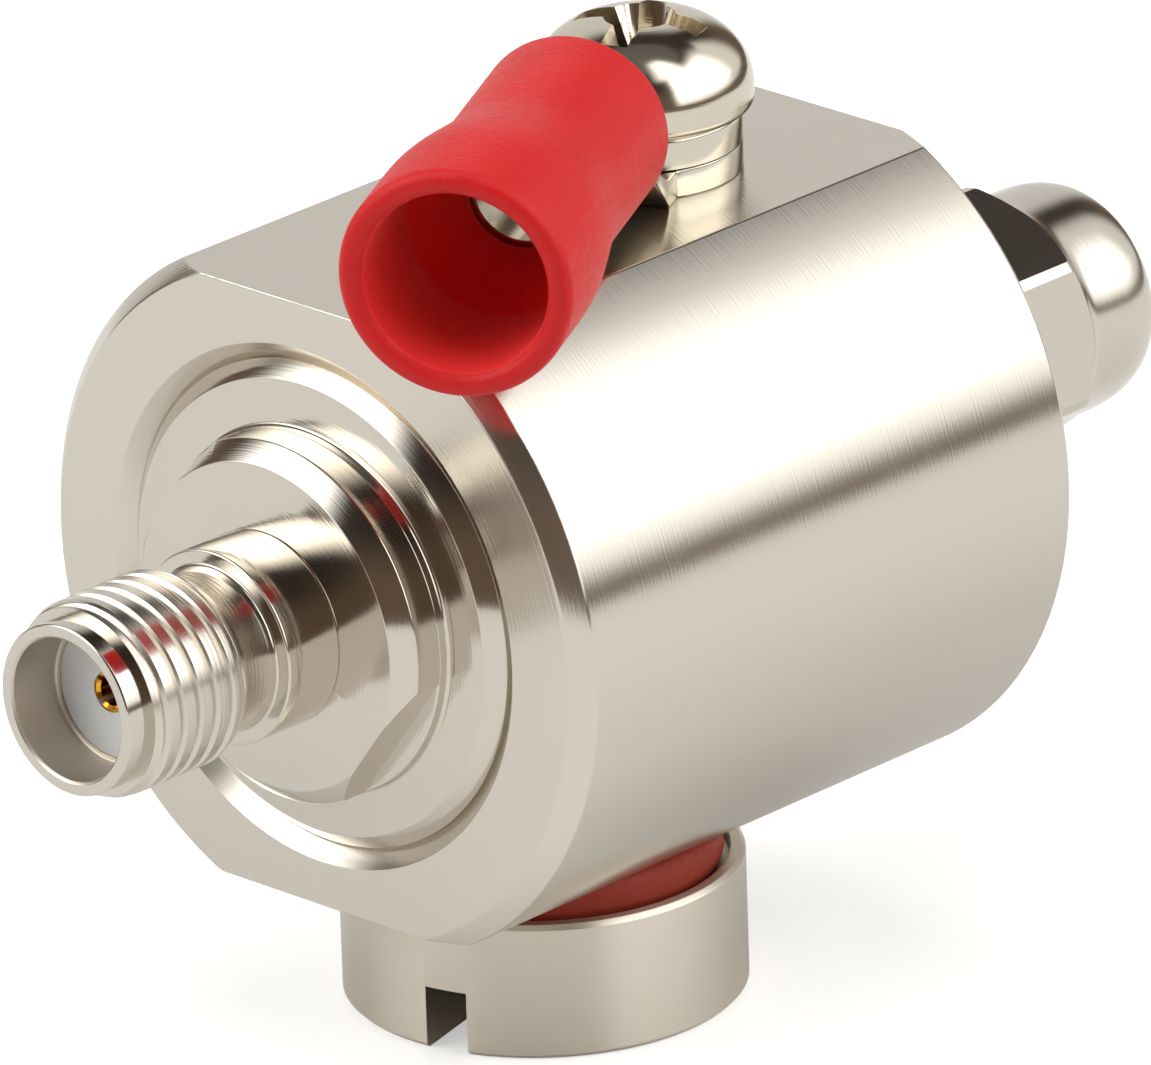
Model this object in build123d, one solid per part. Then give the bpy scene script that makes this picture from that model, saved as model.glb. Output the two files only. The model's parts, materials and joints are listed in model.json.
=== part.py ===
from build123d import *
import math
import os

# Coaxial lightning arrestor: a turned brass block with a threaded socket at one
# end, a plug with a hexagon coupling nut at the other, a gas tube behind a
# slotted cap underneath and an earthing screw with a ring terminal on top.
# Millimetres. The X axis is the coax axis and runs from the socket to the plug.
# X = 0 is the socket's reference plane, the flat bottom of its mouth. Z is up,
# and the whole arrestor stands on the cap's slotted face.

# Housing
body_diameter = 23.0
body_length = 22.8
flat_span = 20.0
front_edge_chamfer = 0.6
rear_edge_chamfer = 0.7
air_bore_diameter = 4.6

# Recess in the front face, which meets the flange's edge in a V-shaped groove
recess_mouth_chamfer = 0.6

# Socket: threaded barrel, neck, collar, boss with two wrench flats, flange
front_reach = 10.8
thread_diameter = 6.35
pilot_diameter = 5.5
pilot_length = 0.85
thread_length = 3.95
neck_diameter = 5.3
collar_diameter = 6.3
collar_length = 2.2
boss_diameter = 11.8
boss_length = 1.95
boss_chamfer = 0.6
boss_flat_span = 10.4
boss_flat_angle = 37.0
boss_rim_thickness = 0.4
flange_diameter = 15.8
flange_thickness = 3.0
flange_proud = 0.1
flange_edge_chamfer = 0.5
front_spigot_diameter = 10.0
front_spigot_length = 2.6
mouth_bore_diameter = 4.6
mouth_depth = 1.9
mouth_edge_chamfer = 0.1
mouth_ledge = 0.2

# Centre line of the coax
contact_diameter = 1.27
socket_hole_diameter = 0.94
socket_hole_depth = 2.9
socket_slot_width = 0.2
socket_slot_length = 2.2
pin_diameter = 0.92
pin_reach = 2.1
pin_tip_length = 0.5
rod_diameter = 2.0
rod_pad_diameter = 3.2
rod_pad_length = 4.6
rod_flat_offset = 1.1
spigot_diameter = 0.86
spigot_length = 1.4
end_gap = 0.1

# Plug: body, nut, snap ring and gasket
rear_reach = 12.4
plug_spigot_diameter = 9.0
plug_spigot_length = 5.0
shoulder_diameter = 10.0
shoulder_length = 0.9
plug_neck_diameter = 7.2
nut_gap = 0.2
nut_length = 7.8
nut_across_flats = 8.0
nut_corner_diameter = 9.04
nut_corner_angle = 21.8
nut_collar_diameter = 7.6
nut_collar_length = 3.25
nut_edge_round_axial = 1.6
nut_edge_round_radial = 0.6
nut_back_chamfer = 0.5
nut_thread_bore = 5.7
nut_mouth_chamfer = 0.2
ferrule_setback = 2.5
ferrule_length = 1.7
ferrule_diameter = 4.58
plug_insulator_diameter = 4.1
nut_seat_diameter = 5.2
ring_wire = 0.5
ring_seat_depth = 0.3
ring_opening = 50.0
nut_gasket_thickness = 0.7

# Gas tube, which stands upright under the centre rod
tube_offset = 9.8
tube_diameter = 5.5
tube_length = 6.0
tube_bore_diameter = 6.0
electrode_rim = 0.6
electrode_nose_diameter = 3.6
electrode_gap = 1.4
ceramic_bore_diameter = 3.9
spring_height = 0.6
spring_thickness = 0.22
spring_eye_diameter = 1.8
spring_diameter = 5.2

# Cap and its gasket
cap_diameter = 12.8
cap_height = 4.5
cap_edge_chamfer = 0.15
cap_gap = 1.2
cap_thread_diameter = 8.0
cap_rim_wall = 0.5
cap_recess_depth = 0.5
cap_slot_width = 1.45
cap_slot_depth = 2.1
cap_slot_angle = 14.5
spring_seat_depth = 0.3
gasket_width = 1.6
gasket_corner_radius = 0.6
gasket_side_gap = 0.12

# Earthing screw and split washer
screw_offset = 15.4
screw_diameter = 4.0
screw_length = 7.8
screw_tip_chamfer = 0.5
screw_hole_spare = 0.6
head_diameter = 7.0
head_height = 3.0
head_band_height = 0.75
head_crown_flat = 0.8
head_bottom_round = 0.45
recess_width = 4.4
recess_wing = 0.95
recess_foot = 0.65
recess_core = 2.3
recess_depth = 2.0
recess_taper = 20.0
recess_turn = 20.0
washer_thickness = 1.1
washer_diameter = 6.2
washer_hole_diameter = 4.2
washer_split_width = 0.35
washer_split_lean = 25.0
washer_split_angle = 50.0

# Ring terminal and its sleeve
stock_thickness = 0.9
ring_diameter = 6.2
ring_hole_diameter = 4.3
tongue_width = 3.6
tongue_flat_end = 3.4
barrel_start = 6.3
barrel_length = 6.6
barrel_bore_diameter = 3.1
barrel_slant = 1.6
barrel_slant_drop = 0.8
terminal_angle = 27.0
barrel_axis_height = 4.2
barrel_tilt = 1.5
sleeve_start = 7.3
sleeve_length = 13.1
sleeve_neck_length = 5.4
sleeve_cone_length = 4.3
sleeve_neck_diameter = 6.1
sleeve_bell_diameter = 7.4
sleeve_mouth_diameter = 5.8
sleeve_entry_gap = 0.05
sleeve_funnel_length = 2.6
sleeve_lip_round = 0.35

# Clearances
slip_gap = 0.02
running_gap = 0.05

# Places along the coax axis
x_mouth = -mouth_depth
x_front = x_mouth + front_reach
x_rear = x_front + body_length
x_nut_end = x_rear + rear_reach
x_thread = x_mouth + pilot_length
x_neck = x_thread + thread_length
x_flange = x_front - flange_proud
x_boss = x_flange - boss_length
x_collar = x_boss - collar_length
x_spigot = x_flange + flange_thickness
x_spigot_end = x_spigot + front_spigot_length
x_ferrule = x_nut_end - ferrule_setback
x_ferrule_root = x_ferrule - ferrule_length
x_nut = x_nut_end - nut_length
x_plug_neck = x_nut - nut_gap
x_plug_back = x_rear - plug_spigot_length
x_snap_ring = (x_nut + x_ferrule_root) / 2
x_tube = x_front + tube_offset
x_screw = x_front + screw_offset

# Heights
z_top = flat_span / 2
z_bottom = -flat_span / 2
z_cap_rim = z_bottom - cap_gap
z_cap_foot = z_cap_rim - cap_height
z_cap_floor = z_cap_rim - cap_recess_depth
z_tube_top = -rod_flat_offset
z_tube_bottom = z_tube_top - tube_length
z_spring_seat = z_tube_bottom - spring_height
z_plug_top = z_spring_seat + spring_seat_depth
z_head = z_top + stock_thickness + washer_thickness


def turned(points):
    """Revolve (x, radius) points about the coax axis."""
    outline = Plane.XZ * make_face(Polyline(*points, close=True))
    return revolve(outline, axis=Axis.X)


def upright(points, x):
    """Revolve (radius, z) points about a vertical axis at x."""
    outline = Plane.XZ * make_face(Polyline(*points, close=True))
    return Pos(x, 0, 0) * revolve(outline, axis=Axis.Z)


def rod_along_x(x_from, x_to, diameter):
    """Cylinder on the coax axis."""
    radius = diameter / 2
    return turned([(x_from, 0), (x_from, radius), (x_to, radius), (x_to, 0)])


def post(x, z_from, z_to, diameter):
    """Upright cylinder."""
    radius = diameter / 2
    return upright([(0, z_from), (radius, z_from), (radius, z_to), (0, z_to)], x)


def housing():
    """Turned block with a top and a bottom flat milled on it afterwards."""
    radius = body_diameter / 2
    front = front_edge_chamfer
    rear = rear_edge_chamfer
    block = turned([
        (x_front, 0),
        (x_front, radius - front),
        (x_front + front, radius),
        (x_rear - rear, radius),
        (x_rear, radius - rear),
        (x_rear, 0),
    ])
    x_middle = (x_front + x_rear) / 2
    slab = Pos(x_middle, 0, 0) * Box(body_length, body_diameter, flat_span)
    return (block & slab) - socket_seat() - plug_seat() - tube_bore() - screw_hole()


def socket_seat():
    """Front bore: chamfered mouth, flange seat and spigot seat."""
    flange = flange_diameter / 2
    spigot = front_spigot_diameter / 2
    air = air_bore_diameter / 2
    return turned([
        (x_front, 0),
        (x_front, flange + recess_mouth_chamfer),
        (x_front + recess_mouth_chamfer, flange),
        (x_spigot, flange),
        (x_spigot, spigot),
        (x_spigot_end, spigot),
        (x_spigot_end, air),
        (x_rear, air),
        (x_rear, 0),
    ])


def plug_seat():
    """Rear bore for the spigot of the plug body."""
    return rod_along_x(x_plug_back, x_rear, plug_spigot_diameter)


def tube_bore():
    """Upright bore for the gas tube, tapped for the cap at its lower end."""
    tapped = cap_thread_diameter / 2 + running_gap
    bore = tube_bore_diameter / 2
    return upright([
        (0, z_bottom),
        (tapped, z_bottom),
        (tapped, z_tube_bottom),
        (bore, z_tube_bottom),
        (bore, 0),
        (0, 0),
    ], x_tube)


def screw_hole():
    """Blind hole for the earthing screw in the top flat."""
    depth = screw_length + screw_hole_spare - stock_thickness - washer_thickness
    return post(x_screw, z_top - depth, z_top, screw_diameter + 2 * running_gap)


def front_insert():
    """Socket body, turned in one piece and milled on its boss."""
    bore = mouth_bore_diameter / 2
    lining = bore - mouth_ledge + slip_gap
    pilot = pilot_diameter / 2
    thread = thread_diameter / 2
    neck = neck_diameter / 2
    collar = collar_diameter / 2
    boss = boss_diameter / 2
    flange = flange_diameter / 2
    spigot = front_spigot_diameter / 2
    lead = thread - pilot
    body = turned([
        (x_mouth, bore + mouth_edge_chamfer),
        (x_mouth, pilot - mouth_edge_chamfer),
        (x_mouth + mouth_edge_chamfer, pilot),
        (x_thread, pilot),
        (x_thread + lead / 2, thread),
        (x_neck - lead / 2, thread),
        (x_neck, neck),
        (x_collar, neck),
        (x_collar, collar),
        (x_boss, collar),
        (x_boss, boss - boss_chamfer),
        (x_boss + boss_chamfer, boss),
        (x_flange, boss),
        (x_flange, flange - flange_edge_chamfer),
        (x_flange + flange_edge_chamfer, flange),
        (x_spigot, flange),
        (x_spigot, spigot),
        (x_spigot_end, spigot),
        (x_spigot_end, lining),
        (0, lining),
        (0, bore),
        (x_mouth + mouth_edge_chamfer, bore),
    ])
    return body - boss_flats()


def boss_flats():
    """Material milled off the boss, leaving a thin round rim at its root."""
    length = boss_length - boss_rim_thickness
    off = body_diameter
    x_middle = x_boss + length / 2
    depth = boss_diameter
    cuts = Part()
    for side in (0, 180):
        block = Pos(0, (boss_flat_span + depth) / 2, 0) * Box(length, depth, off)
        turn = Rot(boss_flat_angle + side, 0, 0)
        cuts += Pos(x_middle, 0, 0) * (turn * block)
    return cuts


def insulator(x_from, x_to, diameter):
    """Plastic tube round the centre contact."""
    outer = diameter / 2
    inner = contact_diameter / 2 + slip_gap
    return turned([(x_from, inner), (x_from, outer), (x_to, outer), (x_to, inner)])


def front_insulator():
    return insulator(0, x_spigot_end, mouth_bore_diameter - 2 * mouth_ledge)


def rear_insulator():
    return insulator(x_plug_back, x_ferrule, plug_insulator_diameter)


def socket_contact():
    """Centre contact of the socket, with a slotted spring mouth."""
    radius = contact_diameter / 2
    hole = socket_hole_diameter / 2
    stub = spigot_diameter / 2
    contact = turned([
        (0, hole + mouth_edge_chamfer),
        (0, radius),
        (x_spigot_end, radius),
        (x_spigot_end, stub),
        (x_spigot_end + spigot_length, stub),
        (x_spigot_end + spigot_length, 0),
        (socket_hole_depth, 0),
        (socket_hole_depth - hole, hole),
        (mouth_edge_chamfer, hole),
    ])
    for turn in (0, 90):
        slot = Box(2 * socket_slot_length, socket_slot_width, 2 * contact_diameter)
        contact -= Rot(turn, 0, 0) * slot
    return contact


def pin_contact():
    """Centre contact of the plug, with a tapered pin."""
    radius = contact_diameter / 2
    pin = pin_diameter / 2
    stub = spigot_diameter / 2
    x_tip = x_ferrule + pin_reach
    return turned([
        (x_plug_back - spigot_length, 0),
        (x_plug_back - spigot_length, stub),
        (x_plug_back, stub),
        (x_plug_back, radius),
        (x_ferrule, radius),
        (x_ferrule, pin),
        (x_tip - pin_tip_length, pin),
        (x_tip, pin / 3),
        (x_tip, 0),
    ])


def centre_rod():
    """Rod between the two contacts, with a flat pad over the gas tube."""
    radius = rod_diameter / 2
    pad = rod_pad_diameter / 2
    hole = spigot_diameter / 2 + slip_gap
    start = x_spigot_end + end_gap
    end = x_plug_back - end_gap
    reach = spigot_length
    rod = turned([
        (start, hole),
        (start, radius),
        (x_tube - rod_pad_length / 2, radius),
        (x_tube - rod_pad_length / 2, pad),
        (x_tube + rod_pad_length / 2, pad),
        (x_tube + rod_pad_length / 2, radius),
        (end, radius),
        (end, hole),
        (end - reach, hole),
        (end - reach, 0),
        (start + reach, 0),
        (start + reach, hole),
    ])
    below = Pos(x_tube, 0, z_tube_top - pad) * Box(2 * rod_pad_length, 4 * pad, 2 * pad)
    return rod - below


def plug_body():
    """Plug body: spigot, shoulder, neck, nut seat and thin ferrule."""
    lining = plug_insulator_diameter / 2 + slip_gap
    spigot = plug_spigot_diameter / 2
    shoulder = shoulder_diameter / 2
    neck = plug_neck_diameter / 2
    seat = nut_seat_diameter / 2
    groove = seat - ring_seat_depth
    ferrule = ferrule_diameter / 2
    half_groove = ring_wire / 2 + running_gap
    return turned([
        (x_plug_back, lining),
        (x_plug_back, spigot),
        (x_rear, spigot),
        (x_rear, shoulder),
        (x_rear + shoulder_length, shoulder),
        (x_rear + shoulder_length, neck),
        (x_plug_neck, neck),
        (x_plug_neck, seat),
        (x_snap_ring - half_groove, seat),
        (x_snap_ring - half_groove, groove),
        (x_snap_ring + half_groove, groove),
        (x_snap_ring + half_groove, seat),
        (x_ferrule_root, seat),
        (x_ferrule_root, ferrule),
        (x_ferrule, ferrule),
        (x_ferrule, lining),
    ])


def snap_ring():
    """Open wire ring that holds the nut on the plug body."""
    inner = nut_seat_diameter / 2 - ring_seat_depth + slip_gap
    outer = inner + ring_wire
    half = ring_wire / 2
    ring = turned([
        (x_snap_ring - half, inner),
        (x_snap_ring - half, outer),
        (x_snap_ring + half, outer),
        (x_snap_ring + half, inner),
    ])
    gap = 2 * outer * math.sin(math.radians(ring_opening / 2))
    opening = Pos(x_snap_ring, -outer, 0) * Box(2 * ring_wire, 2 * outer, gap)
    return ring - opening


def nut_gasket():
    """Flat gasket round the ferrule, at the bottom of the nut."""
    inner = ferrule_diameter / 2 + slip_gap
    outer = nut_thread_bore / 2 - 2 * running_gap
    end = x_ferrule_root + nut_gasket_thickness
    return turned([
        (x_ferrule_root, inner),
        (x_ferrule_root, outer),
        (end, outer),
        (end, inner),
    ])


def coupling_nut():
    """Hexagon nut with a rounded collar at its free end."""
    x_collar_start = x_nut_end - nut_collar_length
    corner = nut_corner_diameter / 2
    collar = nut_collar_diameter / 2
    back = nut_back_chamfer
    hexagon_radius = nut_across_flats / math.sqrt(3)
    hexagon_length = x_collar_start - x_nut
    hexagon = extrude(Plane.YZ * RegularPolygon(hexagon_radius, 6), hexagon_length)
    hexagon = Pos(x_nut, 0, 0) * (Rot(nut_corner_angle, 0, 0) * hexagon)
    fall = corner - collar
    barrel = turned([
        (x_nut, 0),
        (x_nut, corner - back),
        (x_nut + back, corner),
        (x_collar_start - fall, corner),
        (x_collar_start, collar),
        (x_collar_start, 0),
    ])
    return (hexagon & barrel) + nut_collar(x_collar_start) - nut_hollow()


def nut_collar(x_start):
    """Round end of the nut, with an elliptical edge."""
    collar = nut_collar_diameter / 2
    x_bend = x_nut_end - nut_edge_round_axial
    face = collar - nut_edge_round_radial
    outline = Polyline((x_nut_end, face), (x_nut_end, 0), (x_start, 0))
    outline += Polyline((x_start, 0), (x_start, collar), (x_bend, collar))
    outline += EllipticalCenterArc(
        (x_bend, face), nut_edge_round_axial, nut_edge_round_radial, start_angle=0, arc_size=90)
    return revolve(Plane.XZ * make_face(outline), axis=Axis.X)


def nut_hollow():
    """Inside of the nut: seat bore, ring groove, thread bore and lead."""
    seat = nut_seat_diameter / 2 + running_gap
    groove = nut_seat_diameter / 2 + ring_wire
    bore = nut_thread_bore / 2
    lead = bore + nut_mouth_chamfer
    half_groove = ring_wire / 2 + 2 * running_gap
    return turned([
        (x_nut, 0),
        (x_nut, seat),
        (x_snap_ring - half_groove, seat),
        (x_snap_ring - half_groove, groove),
        (x_snap_ring + half_groove, groove),
        (x_snap_ring + half_groove, seat),
        (x_ferrule_root, seat),
        (x_ferrule_root, bore),
        (x_nut_end - nut_mouth_chamfer, bore),
        (x_nut_end, lead),
        (x_nut_end, 0),
    ])


def electrode(z_face, direction):
    """Metal end of the gas tube, with a nose that points into it."""
    rim = tube_diameter / 2
    nose = electrode_nose_diameter / 2
    z_seat = z_face + direction * electrode_rim
    z_nose = z_face + direction * (tube_length - electrode_gap) / 2
    return upright([(0, z_face), (rim, z_face), (rim, z_seat), (nose, z_seat),
                    (nose, z_nose), (0, z_nose)], x_tube)


def gas_tube_ceramic():
    """Ceramic ring between the two electrodes."""
    outer = tube_diameter / 2
    inner = ceramic_bore_diameter / 2
    low = z_tube_bottom + electrode_rim
    high = z_tube_top - electrode_rim
    return upright([(inner, low), (outer, low), (outer, high), (inner, high)], x_tube)


def tube_spring():
    """Coned spring disc that presses the gas tube against the rod."""
    eye = spring_eye_diameter / 2
    outer = spring_diameter / 2
    skin = spring_thickness
    return upright([
        (eye, z_tube_bottom - skin),
        (eye, z_tube_bottom),
        (eye + skin, z_tube_bottom),
        (outer, z_spring_seat + skin),
        (outer, z_spring_seat),
        (outer - skin, z_spring_seat),
    ], x_tube)


def tube_cap():
    """Slotted cap with a threaded plug and a recess for its gasket."""
    outer = cap_diameter / 2
    edge = cap_edge_chamfer
    rim = outer - cap_rim_wall
    thread = cap_thread_diameter / 2
    spring = spring_diameter / 2 + slip_gap
    cap = upright([
        (0, z_cap_foot),
        (outer - edge, z_cap_foot),
        (outer, z_cap_foot + edge),
        (outer, z_cap_rim - edge),
        (outer - edge, z_cap_rim),
        (rim, z_cap_rim),
        (rim, z_cap_floor),
        (thread, z_cap_floor),
        (thread, z_plug_top),
        (spring, z_plug_top),
        (spring, z_spring_seat),
        (0, z_spring_seat),
    ], x_tube)
    slot = Box(2 * cap_diameter, cap_slot_width, 2 * cap_slot_depth)
    return cap - Pos(x_tube, 0, z_cap_foot) * (Rot(0, 0, cap_slot_angle) * slot)


def cap_gasket():
    """Rubber ring squeezed between the cap and the bottom flat."""
    inner = cap_thread_diameter / 2 + gasket_side_gap
    height = z_bottom - z_cap_floor
    middle = (z_bottom + z_cap_floor) / 2
    section = RectangleRounded(gasket_width, height, gasket_corner_radius)
    section = Plane.XZ * (Pos(inner + gasket_width / 2, middle) * section)
    return Pos(x_tube, 0, 0) * revolve(section, axis=Axis.Z)


def ground_screw():
    """Pan-head screw with a cross recess."""
    shank = screw_diameter / 2
    head = head_diameter / 2
    z_tip = z_head - screw_length
    z_band = z_head + head_band_height
    z_crown = z_head + head_height
    low = head_bottom_round
    flat = head_crown_flat
    outline = Polyline((0, z_tip), (shank - screw_tip_chamfer, z_tip),
                       (shank, z_tip + screw_tip_chamfer), (shank, z_head),
                       (head - low, z_head))
    outline += EllipticalCenterArc(
        (head - low, z_head + low), low, low, start_angle=270, arc_size=90)
    outline += Line((head, z_head + low), (head, z_band))
    outline += EllipticalCenterArc(
        (flat, z_band), head - flat, z_crown - z_band, start_angle=0, arc_size=90)
    outline += Polyline((flat, z_crown), (0, z_crown), (0, z_tip))
    section = Plane.XZ * make_face(outline)
    return Pos(x_screw, 0, 0) * revolve(section, axis=Axis.Z) - cross_recess(z_crown)


def cross_recess(z_crown):
    """Tapered cross with a round core, for a driver bit."""
    shrink = recess_depth * math.tan(math.radians(recess_taper))
    core = recess_core / 2
    cross = upright([
        (0, 0),
        (core, 0),
        (core - shrink, -recess_depth),
        (0, -recess_depth),
    ], 0)
    for turn in (recess_turn, recess_turn + 90):
        top = Rectangle(recess_width, recess_wing)
        bottom = Rectangle(recess_width - 2 * shrink, recess_foot)
        wing = loft([top, Pos(0, 0, -recess_depth) * bottom])
        cross += Rot(0, 0, turn) * wing
    return Pos(x_screw, 0, z_crown) * cross


def lock_washer():
    """Split spring washer with a slanted cut."""
    low = z_top + stock_thickness
    inner = washer_hole_diameter / 2
    outer = washer_diameter / 2
    high = low + washer_thickness
    ring = upright([(inner, low), (outer, low), (outer, high), (inner, high)], x_screw)
    split = Box(2 * outer, washer_split_width, 4 * washer_thickness)
    split = Pos(outer + washer_split_width, 0, 0) * (Rot(washer_split_lean, 0, 0) * split)
    split = Rot(0, 0, washer_split_angle) * split
    return ring - Pos(x_screw, 0, (low + high) / 2) * split


def place_terminal(shape):
    """Turn a shape made along +X from the screw axis to the terminal's direction."""
    return Pos(x_screw, 0, z_top) * (Rot(0, 0, 180 + terminal_angle) * shape)


def on_barrel_axis(shape):
    """Tilt a shape made about the X axis onto the axis of the crimp barrel."""
    return Pos(0, 0, barrel_axis_height) * (Rot(0, barrel_tilt, 0) * shape)


def tongue():
    """Sheet that rises from the ring and rolls up into the barrel."""
    bore = barrel_bore_diameter / 2
    outer = bore + stock_thickness
    spread = tongue_width / (bore + outer)
    side = math.sin(spread)
    down = math.cos(spread)
    rolled = ThreePointArc((-outer * side, -outer * down), (0, -outer),
                           (outer * side, -outer * down))
    rolled += Line((outer * side, -outer * down), (bore * side, -bore * down))
    rolled += ThreePointArc((bore * side, -bore * down), (0, -bore),
                            (-bore * side, -bore * down))
    rolled += Line((-bore * side, -bore * down), (-outer * side, -outer * down))
    rolled = on_barrel_axis(Plane.YZ.offset(barrel_start) * make_face(rolled))
    flat = Pos(0, stock_thickness / 2) * Rectangle(tongue_width, stock_thickness)
    return loft([Plane.YZ.offset(tongue_flat_end) * flat, rolled], ruled=True)


def barrel():
    """Rolled crimp barrel, cut on a slant above the tongue."""
    bore = barrel_bore_diameter / 2
    outer = bore + stock_thickness
    end = barrel_start + barrel_length
    tube = turned([(barrel_start, bore), (barrel_start, outer), (end, outer), (end, bore)])
    wedge = make_face(Polyline(
        (barrel_start, -barrel_slant_drop),
        (barrel_start + barrel_slant, outer),
        (barrel_start + barrel_slant, 2 * outer),
        (barrel_start - barrel_slant, 2 * outer),
        (barrel_start - barrel_slant, -barrel_slant_drop),
        close=True))
    return tube - extrude(Plane.XZ * wedge, 2 * outer, both=True)


def ring_terminal():
    """Crimp terminal folded from one sheet: ring, raised tongue and barrel."""
    middle = stock_thickness / 2
    ring = Pos(0, 0, middle) * Cylinder(ring_diameter / 2, stock_thickness)
    flat = Box(tongue_flat_end, tongue_width, stock_thickness)
    ring += Pos(tongue_flat_end / 2, 0, middle) * flat
    ring -= Pos(0, 0, middle) * Cylinder(ring_hole_diameter / 2, 2 * stock_thickness)
    return place_terminal(ring + tongue() + on_barrel_axis(barrel()))


def terminal_sleeve():
    """Soft insulating sleeve with a belled mouth and an inner funnel."""
    grip = barrel_bore_diameter / 2 + stock_thickness + slip_gap
    entry = barrel_bore_diameter / 2
    neck = sleeve_neck_diameter / 2
    bell = sleeve_bell_diameter / 2
    mouth = sleeve_mouth_diameter / 2
    lip = sleeve_lip_round
    start = sleeve_start
    end = start + sleeve_length
    cone = start + sleeve_neck_length
    throat = barrel_start + barrel_length + sleeve_entry_gap
    outline = Polyline((end - lip, bell), (cone + sleeve_cone_length, bell), (cone, neck),
                       (start + lip, neck), (start, neck - lip), (start, grip),
                       (throat, grip), (throat, entry),
                       (throat + sleeve_funnel_length, mouth), (end - lip, mouth),
                       (end, mouth + lip), (end, bell - lip))
    outline += RadiusArc((end, bell - lip), (end - lip, bell), -lip)
    sleeve = revolve(Plane.XZ * make_face(outline), axis=Axis.X)
    return place_terminal(on_barrel_axis(sleeve))


nodes = {
    "housing": housing,
    "front_insert": front_insert,
    "front_insulator": front_insulator,
    "socket_contact": socket_contact,
    "centre_rod": centre_rod,
    "rear_insulator": rear_insulator,
    "pin_contact": pin_contact,
    "plug_body": plug_body,
    "snap_ring": snap_ring,
    "nut_gasket": nut_gasket,
    "coupling_nut": coupling_nut,
    "gas_tube_ceramic": gas_tube_ceramic,
    "gas_tube_top_electrode": lambda: electrode(z_tube_top, -1),
    "gas_tube_bottom_electrode": lambda: electrode(z_tube_bottom, 1),
    "tube_spring": tube_spring,
    "tube_cap": tube_cap,
    "cap_gasket": cap_gasket,
    "ground_screw": ground_screw,
    "lock_washer": lock_washer,
    "ring_terminal": ring_terminal,
    "terminal_sleeve": terminal_sleeve,
}

os.makedirs("parts", exist_ok=True)
for name, build in nodes.items():
    export_step(build(), "parts/" + name + ".step")
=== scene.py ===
import json
import math

import bmesh
import bpy
from mathutils import Matrix, Vector


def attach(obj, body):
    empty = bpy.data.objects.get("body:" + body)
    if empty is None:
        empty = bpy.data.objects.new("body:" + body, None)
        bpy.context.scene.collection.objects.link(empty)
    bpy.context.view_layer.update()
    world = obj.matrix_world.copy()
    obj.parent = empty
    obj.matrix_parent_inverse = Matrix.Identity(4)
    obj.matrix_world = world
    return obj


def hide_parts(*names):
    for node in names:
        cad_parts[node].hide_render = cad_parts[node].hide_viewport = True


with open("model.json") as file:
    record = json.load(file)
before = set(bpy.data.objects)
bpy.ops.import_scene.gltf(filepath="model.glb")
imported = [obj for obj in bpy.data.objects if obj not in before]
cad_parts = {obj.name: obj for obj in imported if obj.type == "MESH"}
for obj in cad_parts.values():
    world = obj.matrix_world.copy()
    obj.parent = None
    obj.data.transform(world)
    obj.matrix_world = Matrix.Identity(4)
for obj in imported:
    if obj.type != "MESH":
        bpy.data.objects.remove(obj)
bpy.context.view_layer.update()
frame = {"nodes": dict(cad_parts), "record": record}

MM = 0.001
nodes = frame["nodes"]

# Places on the coax axis, X, and heights, Z, in millimetres, as the solids have them
X_MOUTH = -1.9
X_THREAD = -1.05
X_NECK = 2.9
X_COLLAR = 4.65
X_BOSS = 6.85
X_FLANGE = 8.8
X_SPIGOT = 11.8
X_SPIGOT_END = 14.4
X_TUBE = 18.7
X_SCREW = 24.3
X_NUT = 36.3
X_SNAP_RING = 38.1
X_FERRULE_ROOT = 39.9
X_NUT_END = 44.1
Z_FOOT = -15.7
Z_CAP_RIM = -11.2
Z_CAP_FLOOR = -11.7
Z_CAP_PLUG = -7.4
Z_SPRING_SEAT = -7.7
Z_WASHER = 10.9
Z_HEAD = 12.0

# The crimp barrel's axis starts above the screw hole and points away along -X and -Y
BARREL_START = Vector((X_SCREW, 0, 14.2))
BARREL_TURN = math.radians(207)
BARREL_TILT = math.radians(1.5)

# Thread pitches, how far a thread fades out at its ends, and its steps in each turn
COAX_PITCH = 25.4 / 36
CAP_PITCH = 0.75
SCREW_PITCH = 0.7
THREAD_RUN_OUT = 0.42
THREAD_STEPS = 96

# Facets round a small and a large turned piece, and the fillet of a corner with none of its own
ROUND = 160
LARGE_ROUND = 240
EDGE = 0.05
# How far solids of one piece run into each other, and how near two points are one
LAP = 0.02
THREAD_LAP = 0.01
WELD = 0.002
ON_AXIS = 1e-6

# Patterns of the metals: rings of the turning tool, patches in the plate, and its grain. The
# real rings and grain are some 0.03 mm wide, and are drawn coarser so that they show.
# RING_DEPTH is in metres.
TOOL_PITCH = 0.09
PATCHES_PER_MM = 0.35
GRAINS_PER_MM = 9.0
RING_DEPTH = 0.00002

# Patterns of the moulded pieces: patches of tint, and the lines drawn round the sleeve, which
# wander along it. LIGHT_REACH is how far light goes in, in metres.
TINTS_PER_MM = 0.4
DRAWN_PITCH = 0.25
DRAWN_WANDER = 2.5
LIGHT_REACH = 0.0006


# Materials
def colour(hex_code):
    """sRGB hex to linear RGBA."""
    parts = [int(hex_code[i:i + 2], 16) / 255 for i in (1, 3, 5)]
    return [c / 12.92 if c <= 0.04045 else ((c + 0.055) / 1.055) ** 2.4 for c in parts] + [1]


def add(tree, kind, inputs=None, **settings):
    """Add a node: settings are its properties, inputs its sockets, as links or as values."""
    node = tree.nodes.new(kind)
    for name, value in settings.items():
        setattr(node, name, value)
    for key, value in (inputs or {}).items():
        if isinstance(value, bpy.types.NodeSocket):
            tree.links.new(value, node.inputs[key])
        else:
            node.inputs[key].default_value = value
    return node


def new_material(name):
    """A material with its node tree and its shader."""
    mat = bpy.data.materials.new(name)
    mat.use_nodes = True
    return mat, mat.node_tree, mat.node_tree.nodes["Principled BSDF"]


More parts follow.
